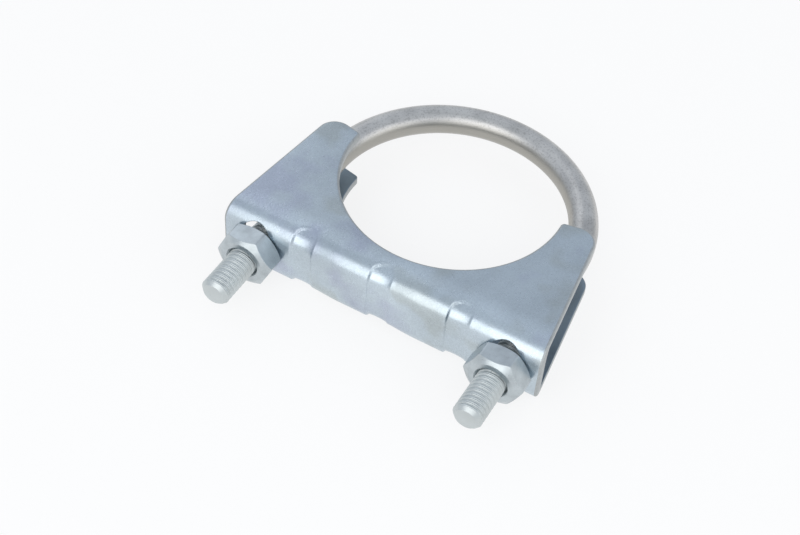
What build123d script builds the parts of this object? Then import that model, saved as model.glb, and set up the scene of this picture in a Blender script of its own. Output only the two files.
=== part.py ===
from build123d import *
import math
import os

# Exhaust clamp: a bent U-bolt, a pressed saddle and two hexagon nuts.
# Millimetres. The origin is the pipe centre, halfway across the saddle.
# +Z runs along the pipe, the bolt legs point to -Y, and X goes across the legs.

# Pipe
pipe_diameter = 60.0

# U-bolt, 5/16 inch rod with 18 threads to the inch
rod_diameter = 7.9
bolt_play = 1.75            # bend radius beyond the pipe radius
tip_chamfer = 1.0
stub_length = 12.7          # thread that stands out past the nuts

# Saddle, folded from sheet
saddle_width = 19.0         # outside to outside, along the pipe
sheet = 2.4
bend_radius = 5.0           # outside of the fold
web_depth = 9.5             # pipe seat to the outer face of the spine
end_land = 5.2              # sheet left between a slot and the spine's end
slot_play = 0.65            # room round a leg, on each side
slot_land = 1.7             # from the slot's round end to the outer flange face
edge_break = 0.5            # on the outer edges that the shear cuts

# Horns of the saddle
horn_inset = 5.5            # how far the sides lean in from spine to horn
horn_rise = 4.6             # outer corner of a horn above the pipe axis
horn_dip = 2.1              # drop of the horn's top towards the pipe
horn_outer_radius = 5.0
horn_inner_radius = 1.2

# Stiffening ribs pressed into the spine
rib_count = 3
rib_pitch = 22.3
rib_width = 7.0
rib_depth = 1.0
rib_reach = 1.0             # how far a rib's round end runs on to the flange

# Hexagon nuts
nut_flats = 14.3
nut_height = 6.5
nut_chamfer_angle = 30.0
nut_seat_gap = 0.15
thread_clearance = 0.05     # radial, nut bore over thread
countersink = 0.6           # bore edge, beyond the thread radius
nut_left_angle = 5.0        # how far each nut stands from one flat straight up
nut_right_angle = 3.0

# Cutting tools reach this far past what they cut
overcut = 20.0

# Faces and corners this close count as being in the same place
same_place = 1e-6

# Worked out from the above
pipe_radius = pipe_diameter / 2
rod_radius = rod_diameter / 2
bolt_inner_radius = pipe_radius + bolt_play
leg_x = bolt_inner_radius + rod_radius
bend_y = pipe_radius - bolt_inner_radius
half_width = saddle_width / 2
spine_y = -(pipe_radius + web_depth)
slot_width = rod_diameter + 2 * slot_play
slot_length = saddle_width - 2 * slot_land
spine_half = leg_x + slot_width / 2 + end_land
horn_x = spine_half - horn_inset
nut_seat_y = spine_y - nut_seat_gap
nut_face_y = nut_seat_y - nut_height
leg_end_y = nut_face_y - stub_length
rib_radius = (rib_width**2 / 4 + rib_depth**2) / (2 * rib_depth)
rib_standoff = rib_radius - rib_depth


def u_bolt():
    """Rod bent round the pipe, with two straight threaded legs."""
    bend_profile = Pos(leg_x, bend_y, 0) * Rot(90, 0, 0) * Circle(rod_radius)
    bend = revolve(bend_profile, Axis((0, bend_y, 0), (0, 0, 1)), 180)
    leg_length = bend_y - leg_end_y
    leg = Cylinder(rod_radius, leg_length, align=(Align.CENTER, Align.CENTER, Align.MIN))
    leg = chamfer(leg.edges().sort_by(Axis.Z)[-1], tip_chamfer)
    legs = [Pos(side * leg_x, bend_y, 0) * Rot(90, 0, 0) * leg for side in (-1, 1)]
    return bend + legs


def channel_section(inset):
    """Closed outline of the folded channel in the YZ plane, inset from its outer faces."""
    far_y = pipe_radius
    near_y = spine_y + inset
    top = half_width - inset
    radius = bend_radius - inset
    outline = Polyline((near_y, -top), (far_y, -top), (far_y, top), (near_y, top), close=True)
    face = make_face(outline)
    corners = face.vertices().sort_by(Axis.X)[:2]
    return fillet(corners, radius)


def channel_block(inset, half_length):
    """The section run along X, filled, from end to end."""
    plane = Plane(origin=(-half_length, 0, 0), x_dir=(0, 1, 0), z_dir=(1, 0, 0))
    return extrude(plane * channel_section(inset), amount=2 * half_length)


def flange_outline():
    """Plan of the saddle: leaning sides, two horns and the pipe seat between them."""
    inner_y = horn_rise - horn_dip
    inner_x = math.sqrt(pipe_radius**2 - inner_y**2)
    seat = ThreePointArc((-inner_x, inner_y), (0, -pipe_radius), (inner_x, inner_y))
    right = Polyline((inner_x, inner_y), (horn_x, horn_rise), (spine_half, spine_y))
    base = Line((spine_half, spine_y), (-spine_half, spine_y))
    left = Polyline((-spine_half, spine_y), (-horn_x, horn_rise), (-inner_x, inner_y))
    face = make_face([seat, right, base, left])
    tips = face.vertices().group_by(Axis.Y)
    face = fillet(tips[-1], horn_outer_radius)
    inner_tips = [v for v in face.vertices() if abs(v.Y - inner_y) < same_place]
    return fillet(inner_tips, horn_inner_radius)


def slot_cut(side):
    """Opening for one leg, long enough along Z to run into both folds."""
    plane = Plane(origin=(side * leg_x, 0, 0), x_dir=(0, 0, 1), z_dir=(0, -1, 0))
    return extrude(plane * SlotOverall(slot_length, slot_width), amount=overcut - spine_y)


def rib_tool():
    """Round bar bent over the spine and both folds, whose skin is the outside of a rib."""
    path_radius = bend_radius + rib_standoff
    fold_y = spine_y + bend_radius
    fold_z = half_width - bend_radius
    bend_angle = math.pi / 2 - (rib_width / 2 - rib_reach) / bend_radius
    bar = Pos(0, spine_y - rib_standoff, 0) * Cylinder(rib_radius, 2 * fold_z)
    for side in (-1, 1):
        start = Plane(origin=(0, spine_y - rib_standoff, side * fold_z), z_dir=(0, 0, 1))
        axis = Axis((0, fold_y, side * fold_z), (-side, 0, 0))
        bar += revolve(start * Circle(rib_radius), axis, math.degrees(bend_angle))
        end_y = fold_y - path_radius * math.cos(bend_angle)
        end_z = side * (fold_z + path_radius * math.sin(bend_angle))
        bar += Pos(0, end_y, end_z) * Sphere(rib_radius)
    return bar


def rib_ridge():
    """Straight bar one sheet thicker, whose skin is the ridge that a rib raises inside the channel."""
    return Pos(0, spine_y - rib_standoff, 0) * Cylinder(rib_radius + sheet, saddle_width)


def saddle():
    """Folded and pressed sheet: two flanges with the pipe seat, a ribbed spine and two slots."""
    envelope = channel_block(0, spine_half)
    plan = extrude(flange_outline(), amount=half_width, both=True)
    body = (envelope & plan) - channel_block(sheet, spine_half + overcut)
    body -= [slot_cut(side) for side in (-1, 1)]
    fold_y = spine_y + bend_radius
    flange_faces = [f for f in body.faces() if abs(abs(f.center().Z) - half_width) < same_place]
    sheared = [e for f in flange_faces for e in f.edges() if e.center().Y > fold_y + same_place]
    body = chamfer(sheared, edge_break)
    first = -rib_pitch * (rib_count - 1) / 2
    for index in range(rib_count):
        place = Pos(first + index * rib_pitch, 0, 0)
        body += (place * rib_ridge()) & envelope
        body -= place * rib_tool()
    return body


def nut():
    """Hexagon nut about Z with its seat at Z = 0 and both faces chamfered."""
    corner_radius = nut_flats / math.sqrt(3)
    chamfer_drop = (corner_radius - nut_flats / 2) * math.tan(math.radians(nut_chamfer_angle))
    body = extrude(RegularPolygon(nut_flats / 2, 6, major_radius=False), amount=nut_height)
    half = Polyline(
        (0, 0),
        (nut_flats / 2, 0),
        (corner_radius, chamfer_drop),
        (corner_radius, nut_height - chamfer_drop),
        (nut_flats / 2, nut_height),
        (0, nut_height),
        close=True,
    )
    turned = revolve(Plane.XZ * make_face(half), Axis.Z)
    bore_radius = rod_radius + thread_clearance
    body = (body & turned) - Cylinder(bore_radius, nut_height + overcut)
    mouths = body.edges().filter_by(GeomType.CIRCLE).sort_by(SortBy.RADIUS)[:2]
    return chamfer(mouths, countersink)


def placed_nut(side, angle):
    """A nut on one leg, seated against the spine."""
    return Pos(side * leg_x, nut_seat_y, 0) * Rot(90, 0, 0) * Rot(0, 0, angle) * nut()


os.makedirs("parts", exist_ok=True)
export_step(u_bolt(), "parts/u_bolt.step")
export_step(saddle(), "parts/saddle.step")
export_step(placed_nut(-1, nut_left_angle), "parts/nut_left.step")
export_step(placed_nut(1, nut_right_angle), "parts/nut_right.step")
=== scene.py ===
import math

import bmesh
import bpy
import numpy as np
from bpy.props import FloatProperty, FloatVectorProperty, IntProperty, PointerProperty
from mathutils import Matrix, Vector


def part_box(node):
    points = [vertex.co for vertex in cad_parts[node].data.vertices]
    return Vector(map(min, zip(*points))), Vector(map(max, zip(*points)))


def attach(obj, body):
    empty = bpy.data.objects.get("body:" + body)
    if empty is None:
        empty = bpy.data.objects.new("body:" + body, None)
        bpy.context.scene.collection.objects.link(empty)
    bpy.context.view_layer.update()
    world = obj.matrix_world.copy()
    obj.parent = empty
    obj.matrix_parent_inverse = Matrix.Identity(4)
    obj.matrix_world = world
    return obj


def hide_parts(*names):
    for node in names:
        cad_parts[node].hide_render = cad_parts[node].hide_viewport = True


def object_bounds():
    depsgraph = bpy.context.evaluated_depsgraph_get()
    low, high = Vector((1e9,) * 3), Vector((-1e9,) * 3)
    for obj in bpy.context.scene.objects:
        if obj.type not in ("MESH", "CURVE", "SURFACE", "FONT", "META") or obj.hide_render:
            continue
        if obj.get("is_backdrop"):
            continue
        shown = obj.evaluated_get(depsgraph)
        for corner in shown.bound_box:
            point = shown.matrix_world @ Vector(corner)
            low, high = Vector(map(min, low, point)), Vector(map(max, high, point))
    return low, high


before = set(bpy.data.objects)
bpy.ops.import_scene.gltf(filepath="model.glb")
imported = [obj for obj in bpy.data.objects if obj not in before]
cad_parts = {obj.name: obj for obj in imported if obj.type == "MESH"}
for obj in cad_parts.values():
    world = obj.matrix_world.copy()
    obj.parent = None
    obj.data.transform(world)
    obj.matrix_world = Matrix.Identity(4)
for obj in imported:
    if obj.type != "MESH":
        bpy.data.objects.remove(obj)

bl_info = {
    "name": "Exhaust clamp",
    "version": (1, 0, 0),
    "blender": (4, 5, 0),
    "location": "View3D > Sidebar > Clamp",
    "description": "Builds the looks of a zinc plated exhaust clamp round its CAD frame",
    "category": "Object",
}

# Metres. The frame's origin is the pipe centre: +Z runs along the pipe, the legs point to -Y.
MM = 0.001


def linear(hex_colour):
    """A colour written as sRGB hex, turned to the linear values that shaders take."""
    parts = [int(hex_colour[i : i + 2], 16) / 255 for i in (1, 3, 5)]
    return [c / 12.92 if c <= 0.04045 else ((c + 0.055) / 1.055) ** 2.4 for c in parts]


# Sizes and colours


class ClampSizes(bpy.types.PropertyGroup):
    """Sizes that the visual pieces share."""

    rod_diameter: FloatProperty(
        name="Rod diameter",
        description="Over the crests of the thread",
        default=7.9 * MM,
        unit="LENGTH",
    )
    bend_radius: FloatProperty(
        name="Bend radius", description="Of the rod's centre line", default=35.7 * MM, unit="LENGTH"
    )
    pitch: FloatProperty(
        name="Thread pitch",
        description="18 threads to the inch",
        default=25.4 * MM / 18,
        unit="LENGTH",
    )
    thread_length: FloatProperty(
        name="Thread length",
        description="From the tip of a leg to the run-out",
        default=30.0 * MM,
        unit="LENGTH",
    )
    tip_chamfer: FloatProperty(
        name="Tip chamfer", description="At the end of each leg", default=1.0 * MM, unit="LENGTH"
    )
    nut_flats: FloatProperty(
        name="Nut across flats", description="Heavy hexagon", default=14.3 * MM, unit="LENGTH"
    )
    nut_height: FloatProperty(
        name="Nut height", description="Seat to outer face", default=6.5 * MM, unit="LENGTH"
    )
    sheet: FloatProperty(
        name="Sheet", description="Thickness of the saddle's sheet", default=2.4 * MM, unit="LENGTH"
    )
    fold_radius: FloatProperty(
        name="Fold radius",
        description="Outside of the saddle's two folds",
        default=5.0 * MM,
        unit="LENGTH",
    )
    edge_roll: FloatProperty(
        name="Edge roll",
        description="Rounding that the shear leaves",
        default=0.6 * MM,
        unit="LENGTH",
    )
    rib_pitch: FloatProperty(
        name="Rib pitch", description="Between neighbouring ribs", default=22.3 * MM, unit="LENGTH"
    )
    rib_width: FloatProperty(
        name="Rib width", description="Across one pressed rib", default=6.6 * MM, unit="LENGTH"
    )
    rib_depth: FloatProperty(
        name="Rib depth", description="At the middle of a rib", default=0.8 * MM, unit="LENGTH"
    )
    rib_slope: FloatProperty(
        name="Rib slope",
        description="Length of the slope to the right of a rib",
        default=9.0 * MM,
        unit="LENGTH",
    )
    rib_reach: FloatProperty(
        name="Rib reach",
        description="How far a rib's round end runs on to a flange",
        default=0.7 * MM,
        unit="LENGTH",
    )
    slot_play: FloatProperty(
        name="Slot play",
        description="Room round a leg, on each side",
        default=0.65 * MM,
        unit="LENGTH",
    )
    slot_land: FloatProperty(
        name="Slot land",
        description="From a slot's round end to the flange face",
        default=1.7 * MM,
        unit="LENGTH",
    )
    pipe_radius: FloatProperty(
        name="Pipe radius",
        description="Of the seat between the horns",
        default=30.0 * MM,
        unit="LENGTH",
    )
    horn_inset: FloatProperty(
        name="Horn inset", description="How far the sides lean in", default=5.5 * MM, unit="LENGTH"
    )
    horn_rise: FloatProperty(
        name="Horn rise",
        description="Outer corner above the pipe axis",
        default=4.6 * MM,
        unit="LENGTH",
    )
    horn_dip: FloatProperty(
        name="Horn dip",
        description="Drop of a horn's top towards the pipe",
        default=2.1 * MM,
        unit="LENGTH",
    )
    horn_outer_radius: FloatProperty(
        name="Horn outer radius",
        description="Round of the outer corner",
        default=5.0 * MM,
        unit="LENGTH",
    )
    horn_inner_radius: FloatProperty(
        name="Horn inner radius",
        description="Round of the inner corner",
        default=1.2 * MM,
        unit="LENGTH",
    )
    rib_count: IntProperty(name="Ribs", description="Pressed into the spine", default=3, min=1)
    nut_left_turn: FloatProperty(
        name="Left nut's turn",
        description="How far it stands from one flat straight up",
        default=math.radians(5),
        subtype="ANGLE",
    )
    nut_right_turn: FloatProperty(
        name="Right nut's turn",
        description="How far it stands from one flat straight up",
        default=math.radians(3),
        subtype="ANGLE",
    )


class ClampFinish(bpy.types.PropertyGroup):
    """Colours of the plated steel and of the stage."""

    sheet: FloatVectorProperty(
        name="Sheet",
        description="Bright zinc on pressed sheet",
        default=linear("#b3bec6"),
        subtype="COLOR",
    )
    rod: FloatVectorProperty(
        name="Rod",
        description="Bright zinc on drawn rod",
        default=linear("#c8c7c5"),
        subtype="COLOR",
    )
    thread: FloatVectorProperty(
        name="Thread",
        description="Bright zinc on the rolled thread",
        default=linear("#cbd1d2"),
        subtype="COLOR",
    )
    nut: FloatVectorProperty(
        name="Nut",
        description="Bright zinc on cold-formed nuts",
        default=linear("#bdc5c9"),
        subtype="COLOR",
    )
    # Partly painted shade: darker than the sheet, for the thin plating and for the shade inside the
    # channel
    channel: FloatVectorProperty(
        name="Channel",
        description="Thin zinc inside the folded channel",
        default=linear("#8c9ba7"),
        subtype="COLOR",
    )
    edge: FloatVectorProperty(
        name="Cut edge",
        description="Sheared edge, plated thinly",
        default=linear("#b6babb"),
        subtype="COLOR",
    )
    floor: FloatVectorProperty(
        name="Floor", description="White studio board", default=linear("#fbfbfb"), subtype="COLOR"
    )


# Node helpers


def add(tree, kind, at=(0, 0), values=None, links=None, **settings):
    """Adds one node with its settings, socket values and incoming links."""
    node = tree.nodes.new(kind)
    node.location = at
    for key, value in settings.items():
        setattr(node, key, value)
    for key, value in (values or {}).items():
        node.inputs[key].default_value = value
    for key, source in (links or {}).items():
        tree.links.new(source, node.inputs[key])
    return node


def colour4(colour):
    """The colour with full opacity, as a socket takes it."""
    return (*colour, 1.0)


def grey(value):
    return (value, value, value)


def shaded(colour, factor):
    """The colour made darker or lighter, and never past white."""
    return [min(1.0, c * factor) for c in colour]


def pattern_scale(millimetres):
    """Texture scale at which one cell of the pattern has that size."""
    return 1.0 / (millimetres * MM)


def new_material(name):
    """An empty node material, and its tree."""
    material = bpy.data.materials.new(name)
    material.use_nodes = True
    material.node_tree.nodes.clear()
    return material, material.node_tree


def ramp(tree, source, stops, at=(0, 0)):
    """A colour ramp with its stops as (place, colour) pairs."""
    node = add(tree, "ShaderNodeValToRGB", at, links={"Fac": source})
    elements = node.color_ramp.elements
    while len(elements) < len(stops):
        elements.new(0.5)
    for element, (place, colour) in zip(elements, stops):
        element.position = place
        element.color = colour4(colour)
    return node.outputs["Color"]


def finish_metal(tree, base, roughness, relief, relief_depth, bevel_radius):
    """Metal surface from a base colour, a roughness and a relief, with softly rounded edges."""
    edge = add(tree, "ShaderNodeBevel", (200, -500), {"Radius": bevel_radius}, samples=4)
    height = add(
        tree,
        "ShaderNodeBump",
        (400, -400),
        {"Distance": relief_depth, "Strength": 1.0},
        {"Height": relief, "Normal": edge.outputs["Normal"]},
    )
    surface = add(
        tree,
        "ShaderNodeBsdfPrincipled",
        (700, 0),
        {"Metallic": 1.0},
        {"Base Color": base, "Roughness": roughness, "Normal": height.outputs["Normal"]},
    )
    add(tree, "ShaderNodeOutputMaterial", (1000, 0), links={"Surface": surface.outputs["BSDF"]})


# Materials


def zinc_sheet_material(finish):
    """Bright zinc on cold-rolled sheet.

    It looks blue-grey and satin, a little clouded, with a faint yellow and violet tarnish, and specks.
    """
    material, tree = new_material("bright zinc plated sheet")
    place = add(tree, "ShaderNodeTexCoord", (-1500, 0)).outputs["Object"]
    cloud = add(
        tree,
        "ShaderNodeTexNoise",
        (-900, 300),
        {"Scale": pattern_scale(22.2), "Detail": 5.0, "Roughness": 0.6},
        {"Vector": place},
    )
    tarnish = add(
        tree,
        "ShaderNodeTexNoise",
        (-900, 0),
        {"Scale": pattern_scale(14.3), "Detail": 2.0},
        {"Vector": place},
    )
    # Grains 0.4 mm across, coarser than the real ones so that they show
    grains = add(
        tree,
        "ShaderNodeTexNoise",
        (-900, -300),
        {"Scale": pattern_scale(0.385), "Detail": 1.0, "Roughness": 0.5},
        {"Vector": place},
    )
    # Two masks by the height on the saddle: from the flange's foot down, and just above each fold
    height = add(tree, "ShaderNodeSeparateXYZ", (-1300, -500), links={"Vector": place})
    formed = add(
        tree,
        "ShaderNodeMapRange",
        (-1100, -500),
        {"From Min": -28.5 * MM, "From Max": -34.0 * MM},
        {"Value": height.outputs["Y"]},
        interpolation_type="SMOOTHSTEP",
    )
    before_spine = add(
        tree,
        "ShaderNodeMapRange",
        (-1100, -750),
        {"From Min": -37.0 * MM, "From Max": -35.2 * MM},
        {"Value": height.outputs["Y"]},
        interpolation_type="SMOOTHSTEP",
    )
    stretched = add(
        tree,
        "ShaderNodeMath",
        (-900, -600),
        {},
        {0: formed.outputs["Result"], 1: before_spine.outputs["Result"]},
        operation="MULTIPLY",
    )
    # Handling marks: short shallow dents 1 to 2 mm long
    marks = add(
        tree,
        "ShaderNodeTexNoise",
        (-900, -850),
        {"Scale": pattern_scale(1.61), "Detail": 5.0, "Roughness": 0.7},
        {"Vector": place},
    )
    speck = add(
        tree, "ShaderNodeTexVoronoi", (-900, -1100), {"Scale": pattern_scale(2.38)}, {"Vector": place}
    )
    mottle = add(
        tree,
        "ShaderNodeMath",
        (-750, 300),
        {1: 0.55},
        {0: grains.outputs["Fac"], 2: cloud.outputs["Fac"]},
        operation="MULTIPLY_ADD",
    )
    base = ramp(
        tree,
        mottle.outputs["Value"],
        [(0.53, shaded(finish.sheet, 0.86)), (0.78, finish.sheet), (1.03, shaded(finish.sheet, 1.12))],
        (-600, 300),
    )
    violet, clean, yellow = linear("#f3f0f8"), linear("#ffffff"), linear("#f5f3ee")
    tints = [(0.36, violet), (0.48, clean), (0.56, clean), (0.66, yellow)]
    tint = ramp(tree, tarnish.outputs["Fac"], tints, (-600, 0))
    tinted = add(
        tree,
        "ShaderNodeMix",
        (-250, 200),
        {"Factor": 1.0},
        {"A": base, "B": tint},
        data_type="RGBA",
        blend_type="MULTIPLY",
    )
    # Painted highlight: the folds and the spine are drawn a little brighter than the flanges, standing in
    # for the lamps' streak on the folds and the bright floor that the spine mirrors
    painted_fold_highlight = add(
        tree,
        "ShaderNodeMix",
        (-100, 350),
        {"B": colour4(grey(1.18))},
        {"Factor": formed.outputs["Result"], "A": tinted.outputs["Result"]},
        data_type="RGBA",
        blend_type="MULTIPLY",
    )
    # Few cells pass the second ramp, so the dark specks stay rare and under 0.3 mm
    dot = ramp(tree, speck.outputs["Distance"], [(0.05, grey(0.55)), (0.10, grey(1.0))], (-600, -900))
    rare = ramp(tree, speck.outputs["Color"], [(0.90, grey(0.0)), (0.93, grey(1.0))], (-600, -1100))
    specked = add(
        tree,
        "ShaderNodeMix",
        (0, 200),
        links={"Factor": rare, "A": painted_fold_highlight.outputs["Result"], "B": dot},
        data_type="RGBA",
        blend_type="MULTIPLY",
    )
    rough = add(
        tree,
        "ShaderNodeMapRange",
        (-250, -100),
        {"From Min": 0.3, "From Max": 0.7, "To Min": 0.25, "To Max": 0.34},
        {"Value": marks.outputs["Fac"]},
    )
    # The grains are faint on the flat, and stand out where folding has stretched the sheet
    share = add(
        tree,
        "ShaderNodeMapRange",
        (-600, -400),
        {"To Min": 0.16, "To Max": 1.0},
        {"Value": stretched.outputs["Value"]},
    )
    raised = add(
        tree,
        "ShaderNodeMath",
        (-400, -400),
        {},
        {0: grains.outputs["Fac"], 1: share.outputs["Result"]},
        operation="MULTIPLY",
    )
    relief = add(
        tree,
        "ShaderNodeMath",
        (-250, -400),
        {1: 0.30},
        {0: marks.outputs["Fac"], 2: raised.outputs["Value"]},
        operation="MULTIPLY_ADD",
    )
    colour, roughness = specked.outputs["Result"], rough.outputs["Result"]
    finish_metal(tree, colour, roughness, relief.outputs["Value"], 0.08 * MM, 0.25 * MM)
    return material


def channel_zinc_and_painted_shade_material(finish):
    """Zinc inside the channel: thin and duller where the plating current hardly reaches, and darker,
    partly for the thin plating and partly as painted shade inside the channel.
    """
    material, tree = new_material("thin zinc and painted shade inside the channel")
    place = add(tree, "ShaderNodeTexCoord", (-900, 0)).outputs["Object"]
    cloud = add(
        tree,
        "ShaderNodeTexNoise",
        (-600, 0),
        {"Scale": pattern_scale(11.1), "Detail": 5.0, "Roughness": 0.65},
        {"Vector": place},
    )
    dark, light = shaded(finish.channel, 0.8), shaded(finish.channel, 1.1)
    base = ramp(tree, cloud.outputs["Fac"], [(0.3, dark), (0.7, light)], (-300, 0))
    rough = add(
        tree,
        "ShaderNodeMapRange",
        (-300, -300),
        {"To Min": 0.38, "To Max": 0.54},
        {"Value": cloud.outputs["Fac"]},
    )
    finish_metal(tree, base, rough.outputs["Result"], cloud.outputs["Fac"], 0.02 * MM, 0.25 * MM)
    return material


def zinc_rod_material(finish, bend_y):
    """Bright zinc on drawn rod: warmer grey, with fine streaks along its length from the drawing die."""
    material, tree = new_material("bright zinc plated rod")
    # The map runs round the rod in U and along it in V, in millimetres
    along = add(tree, "ShaderNodeUVMap", (-1200, 0), uv_map="rod").outputs["UV"]
    place = add(tree, "ShaderNodeTexCoord", (-1200, -300)).outputs["Object"]
    line_width, line_length = 0.417, 20.0
    stretch = add(
        tree,
        "ShaderNodeMapping",
        (-1000, 0),
        {"Scale": (1 / line_width, 1 / line_length, 1.0)},
        {"Vector": along},
    )
    streaks = add(
        tree,
        "ShaderNodeTexNoise",
        (-800, 0),
        {"Scale": 1.0, "Detail": 6.0, "Roughness": 0.7},
        {"Vector": stretch.outputs["Vector"]},
    )
    cloud = add(
        tree,
        "ShaderNodeTexNoise",
        (-800, -300),
        {"Scale": pattern_scale(8.33), "Detail": 4.0},
        {"Vector": place},
    )
    # Grain 0.5 mm across, coarser than the real one so that it shows
    grain = add(
        tree,
        "ShaderNodeTexNoise",
        (-800, -600),
        {"Scale": pattern_scale(0.5), "Detail": 2.0},
        {"Vector": place},
    )
    mixed = add(
        tree,
        "ShaderNodeMath",
        (-600, -100),
        {1: 0.5},
        {0: streaks.outputs["Fac"], 2: cloud.outputs["Fac"]},
        operation="MULTIPLY_ADD",
    )
    base = ramp(
        tree,
        mixed.outputs["Value"],
        [(0.55, shaded(finish.rod, 0.80)), (0.75, finish.rod), (0.95, shaded(finish.rod, 1.12))],
        (-400, 200),
    )
    speckle = ramp(tree, grain.outputs["Fac"], [(0.36, grey(0.80)), (0.48, grey(1.0))], (-400, 50))
    speckled = add(
        tree,
        "ShaderNodeMix",
        (-250, 200),
        {"Factor": 1.0},
        {"A": base, "B": speckle},
        data_type="RGBA",
        blend_type="MULTIPLY",
    )
    # The rolled thread is paler and a little rougher than the drawn rod
    height = add(tree, "ShaderNodeSeparateXYZ", (-1000, -900), links={"Vector": place})
    threaded = add(
        tree,
        "ShaderNodeMapRange",
        (-800, -900),
        {"From Min": -28.0 * MM, "From Max": -33.0 * MM},
        {"Value": height.outputs["Y"]},
    )
    dark, light = shaded(finish.thread, 0.9), shaded(finish.thread, 1.05)
    thread_base = ramp(tree, cloud.outputs["Fac"], [(0.3, dark), (0.7, light)], (-400, 500))
    coloured = add(
        tree,
        "ShaderNodeMix",
        (-100, 300),
        links={"Factor": threaded.outputs["Result"], "A": speckled.outputs["Result"], "B": thread_base},
        data_type="RGBA",
    )
    # Partly painted shade: the inside of the bend is drawn duller and a little brown, for the darker
    # reflection on its underside and for a real brownish tarnish there
    inner_bend_tarnish_and_shade = linear("#acaaa4")
    from_bend = add(
        tree,
        "ShaderNodeVectorMath",
        (-1000, -1200),
        {1: (1, 1, 0), 2: (0, -bend_y, 0)},
        {0: place},
        operation="MULTIPLY_ADD",
    )
    reach = add(
        tree,
        "ShaderNodeVectorMath",
        (-800, -1200),
        links={0: from_bend.outputs["Vector"]},
        operation="LENGTH",
    )
    inner = add(
        tree,
        "ShaderNodeMapRange",
        (-600, -1200),
        {"From Min": 33.0 * MM, "From Max": 31.8 * MM},
        {"Value": reach.outputs["Value"]},
        interpolation_type="SMOOTHSTEP",
    )
    inner_bend_painted_darker = add(
        tree,
        "ShaderNodeMix",
        (100, 300),
        {"B": colour4(inner_bend_tarnish_and_shade)},
        {"Factor": inner.outputs["Result"], "A": coloured.outputs["Result"]},
        data_type="RGBA",
    )
    drawn_rough = add(
        tree,
        "ShaderNodeMapRange",
        (-400, -100),
        {"From Min": 0.5, "From Max": 1.0, "To Min": 0.31, "To Max": 0.44},
        {"Value": mixed.outputs["Value"]},
    )
    rough = add(
        tree,
        "ShaderNodeMath",
        (-200, -100),
        {1: 0.08},
        {0: threaded.outputs["Result"], 2: drawn_rough.outputs["Result"]},
        operation="MULTIPLY_ADD",
    )
    relief = add(
        tree,
        "ShaderNodeMath",
        (-400, -400),
        {1: 0.6},
        {0: grain.outputs["Fac"], 2: streaks.outputs["Fac"]},
        operation="MULTIPLY_ADD",
    )
    colour, roughness = inner_bend_painted_darker.outputs["Result"], rough.outputs["Value"]
    finish_metal(tree, colour, roughness, relief.outputs["Value"], 0.025 * MM, 0.08 * MM)
    return material


def zinc_nut_material(finish):
    """Bright zinc on cold-formed nuts: satin flats with tool marks, edges a little brighter."""
    material, tree = new_material("bright zinc plated nut")
    place = add(tree, "ShaderNodeTexCoord", (-1200, 0)).outputs["Object"]
    cloud = add(
        tree,
        "ShaderNodeTexNoise",
        (-900, 200),
        {"Scale": pattern_scale(3.85), "Detail": 5.0, "Roughness": 0.65},
        {"Vector": place},
    )
    # Tool marks 1.4 mm long that lie across the nut's axis, nine times as close along it
    closer = add(tree, "ShaderNodeMapping", (-1050, -200), {"Scale": (1.0, 9.0, 1.0)}, {"Vector": place})
    marks = add(
        tree,
        "ShaderNodeTexNoise",
        (-900, -200),
        {"Scale": pattern_scale(1.43), "Detail": 4.0, "Roughness": 0.7},
        {"Vector": closer.outputs["Vector"]},
    )
    base = ramp(
        tree,
        cloud.outputs["Fac"],
        [(0.32, shaded(finish.nut, 0.84)), (0.52, finish.nut), (0.72, shaded(finish.nut, 1.12))],
        (-600, 200),
    )
    rough = add(
        tree,
        "ShaderNodeMapRange",
        (-600, -100),
        {"From Min": 0.3, "From Max": 0.7, "To Min": 0.26, "To Max": 0.40},
        {"Value": marks.outputs["Fac"]},
    )
    relief = add(
        tree,
        "ShaderNodeMath",
        (-600, -400),
        {1: 0.5},
        {0: marks.outputs["Fac"], 2: cloud.outputs["Fac"]},
        operation="MULTIPLY_ADD",
    )
    finish_metal(tree, base, rough.outputs["Result"], relief.outputs["Value"], 0.02 * MM, 0.22 * MM)
    return material


def cut_edge_material(finish):
    """Sheared edge of the sheet: duller and more neutral than its faces, with fine torn grain."""
    material, tree = new_material("bright zinc on a sheared edge")
    place = add(tree, "ShaderNodeTexCoord", (-1200, 0)).outputs["Object"]
    tears = add(
        tree,
        "ShaderNodeTexNoise",
        (-900, 0),
        {"Scale": pattern_scale(0.77), "Detail": 4.0, "Roughness": 0.7},
        {"Vector": place},
    )
    dark, light = shaded(finish.edge, 0.82), shaded(finish.edge, 1.06)
    base = ramp(tree, tears.outputs["Fac"], [(0.3, dark), (0.7, light)], (-600, 100))
    rough = add(
        tree,
        "ShaderNodeMapRange",
        (-600, -100),
        {"To Min": 0.42, "To Max": 0.58},
        {"Value": tears.outputs["Fac"]},
    )
    finish_metal(tree, base, rough.outputs["Result"], tears.outputs["Fac"], 0.03 * MM, 0.2 * MM)
    return material


# Shared geometry


# Share of the pitch: a little under the full form, as rolling and plating leave it
THREAD_DEPTH = 0.30


def thread_groove(angle, height, pitch):
    """How deep the thread's groove is there, 0 at a crest and 1 at a root."""
    turn = np.mod(height / pitch - angle / (2 * math.pi), 1.0)
    from_crest = 1.0 - np.abs(2.0 * turn - 1.0)
    # Rolling leaves a wide crest with a fine seam along it. All are shares of half the pitch.
    crest, root, seam = 0.42, 0.14, 0.20
    seam_depth = 0.40
    flank = np.clip((from_crest - crest) / (1.0 - crest - root), 0.0, 1.0)
    dimple = np.clip(1.0 - from_crest / seam, 0.0, 1.0)
    return 0.5 * flank + 0.5 * (3 * flank**2 - 2 * flank**3) + seam_depth * dimple


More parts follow.
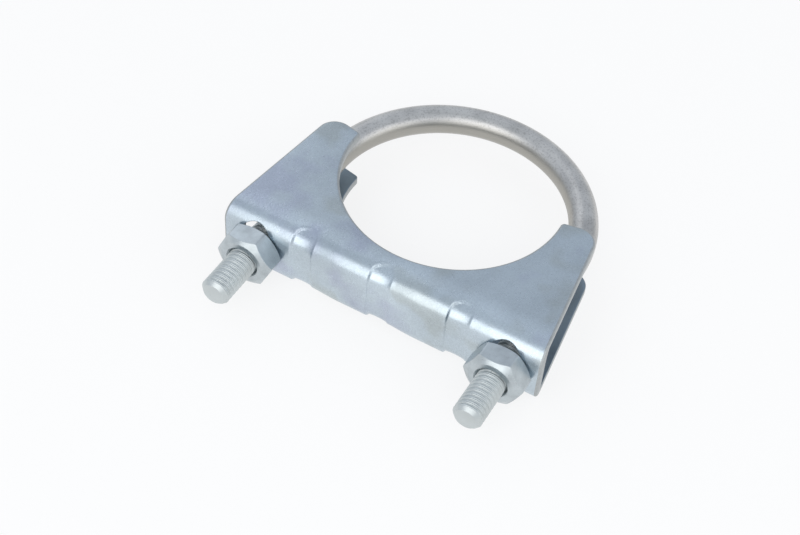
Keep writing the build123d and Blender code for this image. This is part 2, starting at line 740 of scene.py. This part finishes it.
def grid_faces(rows, columns, closed_rows=False, closed_columns=False, offset=0):
    """Quads between the points of a grid of rows by columns."""
    faces = []
    for i in range(rows if closed_rows else rows - 1):
        for j in range(columns if closed_columns else columns - 1):
            here, above = offset + i * columns, offset + (i + 1) % rows * columns
            next_column = (j + 1) % columns
            faces.append((here + j, here + next_column, above + next_column, above + j))
    return faces


def new_piece(name, points, faces, materials, sharp_angle, face_slots=None, merge=0.0):
    """A smooth-shaded mesh object, with edges sharper than the angle kept crisp."""
    mesh = bpy.data.meshes.new(name)
    mesh.from_pydata([tuple(p) for p in points], [], faces)
    mesh.update()
    for material in materials:
        mesh.materials.append(material)
    if face_slots:
        mesh.polygons.foreach_set("material_index", face_slots)
    tidy_mesh(mesh, sharp_angle, merge)
    piece = bpy.data.objects.new(name, mesh)
    bpy.context.scene.collection.objects.link(piece)
    return piece


def tidy_mesh(mesh, sharp_angle, merge=0.0):
    """Joins points closer than merge, turns all faces outwards and shades them smooth."""
    shape = bmesh.new()
    shape.from_mesh(mesh)
    if merge:
        bmesh.ops.remove_doubles(shape, verts=shape.verts, dist=merge)
        bmesh.ops.dissolve_degenerate(shape, edges=shape.edges, dist=merge / 2)
    bmesh.ops.recalc_face_normals(shape, faces=shape.faces)
    for face in shape.faces:
        face.smooth = True
    shape.to_mesh(mesh)
    shape.free()
    mesh.set_sharp_from_angle(angle=sharp_angle)


# U-bolt


def build_u_bolt(sizes, bend_y, material):
    """Rod swept round the bend and down both legs, with a rolled thread on each leg."""
    rod = sizes.rod_diameter / 2
    bend = sizes.bend_radius
    tip_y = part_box("u_bolt")[0].y
    leg = bend_y - tip_y
    around, rings_per_pitch, plain_rings, bend_rings = 80, 22, 29, 160
    hair = 0.01 * MM
    threaded = sizes.thread_length + 2 * sizes.pitch
    heights = list(np.arange(0.0, threaded, sizes.pitch / rings_per_pitch))
    heights += list(np.linspace(threaded, leg, plain_rings + 1))[:-1]
    heights = np.array(sorted(set(heights) | {2 * hair, sizes.tip_chamfer}))
    angles = np.linspace(0, 2 * math.pi, around, endpoint=False)
    rings, along = [], []

    def leg_ring(side, height):
        """Ring of one leg at that height over its tip, cut in by the thread and the tip's chamfer."""
        y = tip_y + height
        depth = THREAD_DEPTH * sizes.pitch * thread_groove(side * angles, y, sizes.pitch)
        run_out = np.clip((sizes.thread_length + sizes.pitch - height) / (2 * sizes.pitch), 0.0, 1.0)
        # The crests stay a hair under the rod's own skin
        radius = np.minimum(rod - hair - depth * run_out, rod - sizes.tip_chamfer + height)
        x = side * (bend + radius * np.sin(angles))
        return np.stack([x, np.full(around, y), radius * np.cos(angles)], axis=1)

    for height in heights:
        rings.append(leg_ring(-1, height))
        along.append(height)
    for turn in np.linspace(math.pi, 0, bend_rings):
        out = np.array([math.cos(turn), math.sin(turn), 0.0])
        centre = np.array([0.0, bend_y, 0.0]) + bend * out
        rings.append(centre + rod * (np.outer(np.sin(angles), out) + np.outer(np.cos(angles), (0, 0, 1))))
        along.append(leg + bend * (math.pi - turn))
    for height in heights[::-1]:
        rings.append(leg_ring(1, height))
        along.append(2 * leg + bend * math.pi - height)

    points = np.concatenate(rings)
    faces = grid_faces(len(rings), around, closed_columns=True)
    faces += [tuple(reversed(range(around))), tuple(range(len(points) - around, len(points)))]
    piece = new_piece("u_bolt_looks", points, faces, [material], sharp_angle=math.radians(40))

    # The material's draw lines follow this map: millimetres round the rod in U and along it in V
    layer = piece.data.uv_layers.new(name="rod")
    corners = np.empty(len(piece.data.loops), int)
    piece.data.loops.foreach_get("vertex_index", corners)
    u = np.tile(np.abs(np.linspace(-1, 1, around)) * math.pi * rod / MM, len(rings))
    v = np.repeat(np.array(along) / MM, around)
    layer.data.foreach_set("uv", np.stack([u[corners], v[corners]], axis=1).ravel())
    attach(piece, "u_bolt")
    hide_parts("u_bolt")
    return piece


# Saddle


class SaddlePlan:
    """The saddle's flat outline and its folded section, worked out from the CAD node and the sizes."""

    def __init__(self, sizes):
        low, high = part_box("saddle")
        self.sizes = sizes
        self.sheet = sizes.sheet
        self.fold = sizes.fold_radius
        self.roll = sizes.edge_roll
        self.half_width = high.z
        self.spine_y = low.y
        self.spine_half = high.x
        self.fold_y = low.y + self.fold
        self.flat = self.half_width - self.fold
        self.fold_end = self.flat + self.fold * math.pi / 2
        self.horn_x = self.spine_half - sizes.horn_inset

    def side_x(self, y):
        """Half length of the saddle at height y, where its sides lean in."""
        lean = self.sizes.horn_inset / (self.sizes.horn_rise - self.spine_y)
        return self.spine_half - (y - self.spine_y) * lean

    def columns(self):
        """Right half of the outline above the fold, and where each of its columns starts.

        The starts are shares of half the spine's length.
        """
        sizes = self.sizes
        inner_y = sizes.horn_rise - sizes.horn_dip
        inner_x = math.sqrt(sizes.pipe_radius**2 - inner_y**2)
        # The seat's arc stops a little short of the horn's inner corner, to leave room for its round
        end = math.atan2(inner_y, inner_x) - 0.045
        # Shares of the half spine under the seat, the inner corner, the outer corner and the side
        seat_share, inner_share, outer_share = 0.765, 0.80, 0.90
        # Columns stand close together across the ribs and wider apart between them
        reach = 0.63 * sizes.rib_width
        seat_x = seat_share * self.spine_half
        marks = [0.0, reach, sizes.rib_pitch - reach, sizes.rib_pitch + reach, seat_x]
        spans = [np.linspace(a, b, n)[:-1] for a, b, n in zip(marks, marks[1:], (30, 16, 60, 14))]
        places = np.concatenate(spans + [[seat_x]])
        seat = -math.pi / 2 + (end + math.pi / 2) * places / seat_x
        points = [(sizes.pipe_radius * math.cos(t), sizes.pipe_radius * math.sin(t)) for t in seat]
        seat_count = len(points)
        inner, outer = Vector((inner_x, inner_y)), Vector((self.horn_x, sizes.horn_rise))
        points += rounded(Vector(points[-1]), inner, outer, sizes.horn_inner_radius, 8)
        inner_count = len(points)
        foot = Vector((self.side_x(self.fold_y), self.fold_y))
        points += rounded(inner, outer, foot, sizes.horn_outer_radius, 16)
        outer_count = len(points)
        last = Vector(points[-1])
        points += [tuple(last.lerp(foot, t)) for t in np.linspace(0, 1, 26)[1:]]
        rest = np.interp(
            np.arange(seat_count, len(points)),
            [seat_count - 1, inner_count - 1, outer_count - 1, len(points) - 1],
            [seat_share, inner_share, outer_share, 1.0],
        )
        return np.array(points), np.concatenate([places / self.spine_half, rest])

    def rib_dip(self, x, distance):
        """How far the ribs press the skin in, at that place along the saddle and round its section."""
        sizes = self.sizes
        half = sizes.rib_width / 2
        over = max(0.0, abs(distance) - (self.fold_end + sizes.rib_reach - half))
        centres = [(k - (sizes.rib_count - 1) / 2) * sizes.rib_pitch for k in range(sizes.rib_count)]
        across = min((x - centre for centre in centres), key=abs)
        q = math.hypot(across, over) / half
        # The wall on the left is steep, and those on the right and at the round ends run out softly
        lean = across / half / max(q, 0.01)
        end = min(1.0, 1.5 * over / half)
        soft = 0.5 + 0.5 * lean * (1 - min(1.0, over / half))
        # Where the wall begins and where it meets the skin, as shares of half the rib's width
        wall = 0.88 - 0.18 * soft - 0.14 * end
        foot = 1.02 + 0.10 * soft + 0.05 * end
        dip = 0.0
        if q < foot:
            # The rib's floor is a fifth deeper in the middle than at the wall
            dip = sizes.rib_depth * (0.80 + 0.20 * (1 - min(q, wall) ** 2 / wall**2))
        if wall < q < foot:
            t = (foot - q) / (foot - wall)
            dip *= 0.35 * t + 0.65 * smooth(t)
        # To the right of each rib the sheet climbs back on a long slope that fades out on the flanges
        past = min((x - centre for centre in centres if x >= centre), default=1.0) - 0.5 * half
        climb = smooth(1 - past / sizes.rib_slope) * (1 if past >= 0 else 0)
        fade_end, fade_length = self.fold_end + 2.0 * MM, 4.5 * MM
        fade = smooth((fade_end - abs(distance)) / fade_length)
        return max(dip, 0.5 * sizes.rib_depth * climb * fade)


def smooth(t):
    """Eased step from 0 to 1."""
    t = min(1.0, max(0.0, t))
    return t * t * (3 - 2 * t)


def rounded(before, corner, after, radius, steps):
    """Points of the round that joins two straight lines at a corner."""
    a, b = (before - corner).normalized(), (after - corner).normalized()
    half = a.angle(b) / 2
    reach = min(radius / math.tan(half), 0.95 * (before - corner).length)
    radius = reach * math.tan(half)
    centre = corner + (a + b).normalized() * (radius / math.sin(half))
    start, end = corner + a * reach - centre, corner + b * reach - centre
    turn = start.angle_signed(end)
    arc = [centre + Matrix.Rotation(-turn * k / steps, 2) @ start for k in range(steps + 1)]
    return [tuple(p) for p in arc]


def section_point(plan, distance):
    """Place (y, z) and outward normal on the outer skin, at that distance from the spine's middle."""
    side = 1 if distance >= 0 else -1
    d = abs(distance)
    if d <= plan.flat:
        return plan.spine_y, side * d, -1.0, 0.0
    turn = min(d - plan.flat, plan.fold_end - plan.flat) / plan.fold
    y = plan.fold_y - plan.fold * math.cos(turn)
    return y, side * (plan.flat + plan.fold * math.sin(turn)), -math.cos(turn), side * math.sin(turn)


# The saddle's material slots
OUTSIDE, CUT, INSIDE = 0, 1, 2


def build_saddle(sizes, materials):
    """Folded sheet of one thickness: flanges, rounded folds and a ribbed spine with two slots."""
    plan = SaddlePlan(sizes)
    half, half_share = plan.columns()
    outline = np.concatenate([half[::-1] * (-1, 1), half[1:]])
    share = np.concatenate([-half_share[::-1], half_share[1:]])
    tangent = np.gradient(outline, axis=0)
    inward = np.stack([tangent[:, 1], -tangent[:, 0]], axis=1)
    inward /= np.linalg.norm(inward, axis=1, keepdims=True)
    inward[0], inward[-1] = (1, 0), (-1, 0)

    # Rows stand close together where the ribs' round ends lie
    close = 0.15 * MM
    low_rows = np.arange(0.0, sizes.rib_reach + 3 * close, close)
    high_rows = np.linspace(0, 1, 22)[1:] ** 1.3
    rib_start = plan.fold_end + sizes.rib_reach - sizes.rib_width / 2
    one_side = np.concatenate(
        [
            np.linspace(0, plan.flat, 8)[:-1],
            np.linspace(plan.flat, rib_start, 13)[:-1],
            np.arange(rib_start, plan.fold_end - close / 2, close),
            [plan.fold_end],
        ]
    )
    middle = np.concatenate([-one_side[::-1], one_side[1:]])

    def flange_skin(x, y, side, depth):
        """A point of a flange, that far under its outer face."""
        depth += plan.rib_dip(x, plan.fold_end + (y - plan.fold_y))
        return (x, y, side * (plan.half_width - depth))

    def fold_skin(portion, distance, depth, inset):
        """A point of the spine or a fold, that far under its outer face."""
        y, z, ny, nz = section_point(plan, distance)
        x = portion * (plan.side_x(y) - inset)
        depth += plan.rib_dip(x, distance)
        return (x, y - ny * depth, z - nz * depth)

    points, faces, face_slots = [], [], []

    def add_grid(block, slot):
        """Adds one sheet of the mesh from its rows of points, all in one material slot."""
        block = np.array(block)
        start = len(faces)
        faces.extend(grid_faces(block.shape[0], block.shape[1], offset=len(points)))
        points.extend(block.reshape(-1, 3))
        face_slots.extend([slot] * (len(faces) - start))

    burr = 0.12 * MM
    least_rise = 1e-9
    for slot, depth, inset in ((OUTSIDE, 0.0, plan.roll), (INSIDE, plan.sheet, burr)):
        tops = outline + inward * inset
        feet_x = share * (plan.side_x(plan.fold_y) - inset)
        feet = np.stack([feet_x, np.full(len(share), plan.fold_y)], axis=1)
        rise = np.maximum(tops[:, 1] - plan.fold_y, least_rise)
        low_t = np.array([np.minimum(1.0, y / rise) for y in low_rows])
        high_t = np.array([low_t[-1] + (1 - low_t[-1]) * t for t in high_rows])
        for side in (-1, 1):
            block = []
            for t in np.concatenate([low_t, high_t]):
                row = feet + (tops - feet) * t[:, None]
                block.append([flange_skin(x, y, side, depth) for x, y in row])
            add_grid(block, slot)
        add_grid([[fold_skin(p, d, depth, inset) for p in share] for d in middle], slot)

    # Section of the sheared edge, from the outer skin to the inner: a roll, the cut and a small burr
    roll_turns = np.radians((0, 22, 45, 68, 90))
    edge_section = [(plan.roll * (1 - math.sin(a)), plan.roll * (1 - math.cos(a))) for a in roll_turns]
    edge_section += [(0.0, plan.sheet * 0.5), (0.0, plan.sheet - burr), (burr, plan.sheet)]
    for side in (-1, 1):
        block = []
        for inset, depth in edge_section:
            block.append([flange_skin(x, y, side, depth) for x, y in outline + inward * inset])
        add_grid(block, CUT)
    for end in (-1.0, 1.0):
        block = [[fold_skin(end, d, depth, inset) for d in middle] for inset, depth in edge_section]
        add_grid(block, CUT)

    sharp, seam = math.radians(60), 0.004 * MM
    piece = new_piece("saddle_looks", points, faces, materials, sharp, face_slots, merge=seam)
    cut_slots(piece, sizes, plan)
    tidy_mesh(piece.data, sharp)
    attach(piece, "saddle")
    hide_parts("saddle")
    return piece


def cut_slots(piece, sizes, plan):
    """Cuts one round-ended opening for each leg through the spine and into both folds."""
    round_end = sizes.rod_diameter / 2 + sizes.slot_play
    straight = plan.half_width - sizes.slot_land - round_end
    outline = []
    for end in (1, -1):
        for turn in np.linspace(0, math.pi, 33):
            x, z = round_end * math.cos(turn), straight + round_end * math.sin(turn)
            outline.append((end * x, end * z))
    count = len(outline)
    before, behind = plan.spine_y - 10 * MM, plan.spine_y + 12 * MM
    for side in (-1, 1):
        centre = side * sizes.bend_radius
        points = [(centre + x, y, z) for y in (before, behind) for x, z in outline]
        faces = grid_faces(2, count, closed_columns=True)
        faces += [tuple(range(count)), tuple(range(2 * count - 1, count - 1, -1))]
        cutter = new_piece("slot_cutter", points, faces, [piece.data.materials[CUT]], sharp_angle=0.5)
        cut = piece.modifiers.new("slot", "BOOLEAN")
        cut.operation = "DIFFERENCE"
        cut.solver = "EXACT"
        cut.object = cutter
        cut.material_mode = "TRANSFER"
        graph = bpy.context.evaluated_depsgraph_get()
        result = bpy.data.meshes.new_from_object(piece.evaluated_get(graph))
        piece.modifiers.clear()
        piece.data = result
        bpy.data.objects.remove(cutter)


# Nuts


def build_nut(sizes, node, side, material, turn):
    """Heavy hexagon nut with both faces chamfered, a countersunk mouth and an internal thread."""
    seat_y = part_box(node)[1].y
    leg_x = side * sizes.bend_radius
    flat = sizes.nut_flats / 2
    height = sizes.nut_height
    rod = sizes.rod_diameter / 2
    thread_clearance, mouth_play, mouth_slope = 0.05 * MM, 0.70 * MM, 0.9
    # The outer face is chamfered more than the seat, and both run out over a soft rim
    face_radius, face_chamfer = 0.86 * flat, math.radians(34)
    seat_radius, seat_chamfer = 0.93 * flat, math.radians(30)
    rim, rim_drop = 0.25 * MM, 0.02 * MM
    corner_blunt = 0.12 * MM
    per_flat, bore_rings, side_rings = 28, 72, 5
    flat_angles = np.radians(np.linspace(0.9, 59.1, per_flat))
    angles = np.concatenate([k * math.pi / 3 + flat_angles for k in range(6)])
    from_flat = np.mod(angles, math.pi / 3) - math.pi / 6
    hexagon = np.minimum(flat / np.cos(from_flat), flat / math.cos(math.pi / 6) - corner_blunt)
    face_drop = (hexagon - face_radius) * math.tan(face_chamfer)
    seat_drop = (hexagon - seat_radius) * math.tan(seat_chamfer)
    count = len(angles)
    # The hexagon lies in X and Z. A positive angle goes from +X to -Z, right-handed about +Y.
    world = angles - turn
    helix = world + math.pi / 2

    def ring(radius, lift):
        """Ring round the leg at that lift over the seat. Both may change round it."""
        radius = radius * np.ones(count)
        lift = lift * np.ones(count)
        return np.stack([leg_x + radius * np.cos(world), seat_y - lift, -radius * np.sin(world)], axis=1)

    def bore(lift):
        """Radius of the threaded bore there, opened by the countersinks at both mouths."""
        groove = THREAD_DEPTH * sizes.pitch * thread_groove(helix, seat_y - lift, sizes.pitch)
        cone = rod + mouth_play - mouth_slope * min(lift, height - lift)
        return np.maximum(rod - groove + thread_clearance, cone)

    rings = [ring(bore(lift), lift) for lift in np.linspace(0, height, bore_rings)]
    rings.append(ring(face_radius - rim, height))
    rings.append(ring(face_radius, height - rim_drop))
    for t in np.linspace(0, 1, side_rings):
        rings.append(ring(hexagon, (height - face_drop) * (1 - t) + seat_drop * t))
    rings.append(ring(seat_radius, rim_drop))
    rings.append(ring(seat_radius - rim, 0.0))
    points = np.concatenate(rings)
    faces = grid_faces(len(rings), count, closed_rows=True, closed_columns=True)
    piece = new_piece(node + "_looks", points, faces, [material], sharp_angle=math.radians(22))
    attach(piece, node)
    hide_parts(node)
    return piece


# Stage


def studio_board_material(finish):
    """White painted board: matt, so that it takes only a faint shadow."""
    material, tree = new_material("white studio board")
    path = add(tree, "ShaderNodeLightPath", (-800, 200)).outputs
    board = add(
        tree,
        "ShaderNodeBsdfPrincipled",
        (-300, 0),
        {"Base Color": colour4(finish.floor), "Roughness": 0.9, "Specular IOR Level": 0.2},
    )
    glow = add(tree, "ShaderNodeEmission", (-300, -400), {"Color": (1, 1, 1, 1), "Strength": 1.0})
    # The camera and the metal's reflections see the board as white, and it still keeps part of the shadow
    white_share = 0.80
    seen = add(
        tree,
        "ShaderNodeMath",
        (-600, 400),
        {},
        {0: path["Is Camera Ray"], 1: path["Is Glossy Ray"]},
        operation="MAXIMUM",
    )
    through = add(
        tree,
        "ShaderNodeMath",
        (-450, 400),
        {},
        {0: seen.outputs["Value"], 1: path["Is Transmission Ray"]},
        operation="MAXIMUM",
    )
    lift = add(
        tree,
        "ShaderNodeMath",
        (-300, 300),
        {1: white_share},
        {0: through.outputs["Value"]},
        operation="MULTIPLY",
    )
    mix = add(
        tree,
        "ShaderNodeMixShader",
        (0, 0),
        links={0: lift.outputs["Value"], 1: board.outputs["BSDF"], 2: glow.outputs["Emission"]},
    )
    add(tree, "ShaderNodeOutputMaterial", (200, 0), links={"Surface": mix.outputs["Shader"]})
    return material


def studio_world():
    """Pale room that the metal reflects, and a white background for the camera."""
    world = bpy.data.worlds.new("white studio")
    world.use_nodes = True
    tree = world.node_tree
    tree.nodes.clear()
    path = add(tree, "ShaderNodeLightPath", (-600, 200))
    # The room is lighter overhead than at the horizon, which gives round metal its soft dark edges
    ray = add(tree, "ShaderNodeTexCoord", (-1200, 0)).outputs["Generated"]
    split = add(tree, "ShaderNodeSeparateXYZ", (-1000, 0), links={"Vector": ray})
    heights = (0.0, 0.30, 0.65, 1.0)
    shades = [linear(shade) for shade in ("#c6ccd2", "#d6dce3", "#d0d7e2", "#d3dae2")]
    shade = ramp(tree, split.outputs["Z"], list(zip(heights, shades)), (-700, 0))
    room = add(tree, "ShaderNodeBackground", (-300, 0), {"Strength": 0.97}, {"Color": shade})
    white = add(tree, "ShaderNodeBackground", (-300, -200), {"Color": (1, 1, 1, 1), "Strength": 1.0})
    mix = add(
        tree,
        "ShaderNodeMixShader",
        (0, 0),
        links={
            0: path.outputs["Is Camera Ray"],
            1: room.outputs["Background"],
            2: white.outputs["Background"],
        },
    )
    add(tree, "ShaderNodeOutputWorld", (200, 0), links={"Surface": mix.outputs["Shader"]})
    return world


def build_stage(finish):
    """White board that the clamp lies on, soft lamps, and the photograph's camera."""
    scene = bpy.context.scene
    bpy.ops.mesh.primitive_plane_add(size=6.0, location=(0, 0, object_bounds()[0].z))
    floor = bpy.context.object
    floor.name = "floor"
    floor.data.materials.append(studio_board_material(finish))
    floor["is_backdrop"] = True
    scene.world = studio_world()

    def softbox(name, place, size, power, colour=(1.0, 1.0, 1.0)):
        """A soft lamp that faces the clamp, of that size in metres and power in watts."""
        data = bpy.data.lights.new(name, "AREA")
        data.shape = "RECTANGLE"
        data.size, data.size_y = size
        data.energy = power
        data.color = colour
        light = bpy.data.objects.new(name, data)
        scene.collection.objects.link(light)
        light.location = place
        light.rotation_euler = (-Vector(place)).to_track_quat("-Z", "Y").to_euler()

    warm = (1.0, 0.97, 0.92)
    softbox("front softbox", (0.07, -0.75, 0.48), (1.10, 0.95), 2.1, warm)
    softbox("front lamp", (-0.04, -0.70, 0.35), (0.62, 0.74), 1.0, warm)
    softbox("right softbox", (0.83, -0.05, 0.34), (0.75, 0.65), 1.5, warm)
    softbox("left rear softbox", (-0.62, 0.46, 0.60), (0.50, 0.50), 0.33)

    place_camera(scene)
    scene.view_settings.view_transform = "Standard"


def place_camera(scene):
    """The photograph's camera, found by fitting the clamp's outlines."""
    azimuth, elevation, roll = math.radians(26.15), math.radians(48.27), math.radians(5.0)
    distance = 408.264 * MM
    focal_pixels, picture_width, picture_height = 1547.99, 800, 535
    aim_pixel = Vector((448.677, 211.657))
    aim = Vector((0, -1.75 * MM, 0))
    level = math.cos(elevation)
    back = Vector((math.sin(azimuth) * level, -math.cos(azimuth) * level, math.sin(elevation)))
    right = Vector((math.cos(azimuth), math.sin(azimuth), 0))
    up = back.cross(right)
    turned_right = right * math.cos(roll) + up * math.sin(roll)
    turned_up = -right * math.sin(roll) + up * math.cos(roll)
    data = bpy.data.cameras.new("camera")
    data.sensor_width = 36.0
    data.lens = focal_pixels / picture_width * data.sensor_width
    data.clip_start = 0.01
    camera = bpy.data.objects.new("camera", data)
    scene.collection.objects.link(camera)
    off_x = (aim_pixel.x - picture_width / 2) / focal_pixels * distance
    off_y = -(aim_pixel.y - picture_height / 2) / focal_pixels * distance
    place = aim + back * distance - turned_right * off_x - turned_up * off_y
    basis = Matrix((turned_right, turned_up, back)).transposed()
    camera.matrix_world = Matrix.Translation(place) @ basis.to_4x4()
    scene.camera = camera


# Operators


class CLAMP_OT_u_bolt(bpy.types.Operator):
    """Build the threaded U-bolt"""

    bl_idname = "clamp.u_bolt"
    bl_label = "U-bolt"

    def execute(self, context):
        scene = context.scene
        sizes = scene.clamp_sizes
        bend_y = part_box("u_bolt")[1].y - sizes.bend_radius - sizes.rod_diameter / 2
        build_u_bolt(sizes, bend_y, zinc_rod_material(scene.clamp_finish, bend_y))
        return {"FINISHED"}


class CLAMP_OT_saddle(bpy.types.Operator):
    """Build the folded saddle"""

    bl_idname = "clamp.saddle"
    bl_label = "Saddle"

    def execute(self, context):
        scene = context.scene
        makers = (zinc_sheet_material, cut_edge_material, channel_zinc_and_painted_shade_material)
        materials = [make(scene.clamp_finish) for make in makers]
        build_saddle(scene.clamp_sizes, materials)
        return {"FINISHED"}


class CLAMP_OT_nuts(bpy.types.Operator):
    """Build both nuts"""

    bl_idname = "clamp.nuts"
    bl_label = "Nuts"

    def execute(self, context):
        sizes = context.scene.clamp_sizes
        material = zinc_nut_material(context.scene.clamp_finish)
        build_nut(sizes, "nut_left", -1, material, sizes.nut_left_turn)
        build_nut(sizes, "nut_right", 1, material, sizes.nut_right_turn)
        return {"FINISHED"}


class CLAMP_OT_stage(bpy.types.Operator):
    """Build the floor, lamps and camera"""

    bl_idname = "clamp.stage"
    bl_label = "Stage"

    def execute(self, context):
        build_stage(context.scene.clamp_finish)
        return {"FINISHED"}


class CLAMP_PT_panel(bpy.types.Panel):
    """Sizes, colours and build buttons of the clamp"""

    bl_idname = "CLAMP_PT_panel"
    bl_label = "Exhaust clamp"
    bl_space_type = "VIEW_3D"
    bl_region_type = "UI"
    bl_category = "Clamp"

    def draw(self, context):
        scene = context.scene
        for group in (scene.clamp_sizes, scene.clamp_finish):
            column = self.layout.column(align=True)
            for name in group.bl_rna.properties.keys():
                if name not in ("rna_type", "name"):
                    column.prop(group, name)
        for operator in OPERATORS:
            self.layout.operator(operator.bl_idname)


OPERATORS = (CLAMP_OT_u_bolt, CLAMP_OT_saddle, CLAMP_OT_nuts, CLAMP_OT_stage)
CLASSES = (ClampSizes, ClampFinish, *OPERATORS, CLAMP_PT_panel)


def register():
    for item in CLASSES:
        bpy.utils.register_class(item)
    bpy.types.Scene.clamp_sizes = PointerProperty(type=ClampSizes)
    bpy.types.Scene.clamp_finish = PointerProperty(type=ClampFinish)


def unregister():
    del bpy.types.Scene.clamp_finish
    del bpy.types.Scene.clamp_sizes
    for item in reversed(CLASSES):
        bpy.utils.unregister_class(item)


def main():
    register()
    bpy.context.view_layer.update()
    bpy.ops.clamp.u_bolt()
    bpy.ops.clamp.saddle()
    bpy.ops.clamp.nuts()
    bpy.ops.clamp.stage()


if __name__ == "__main__":
    main()
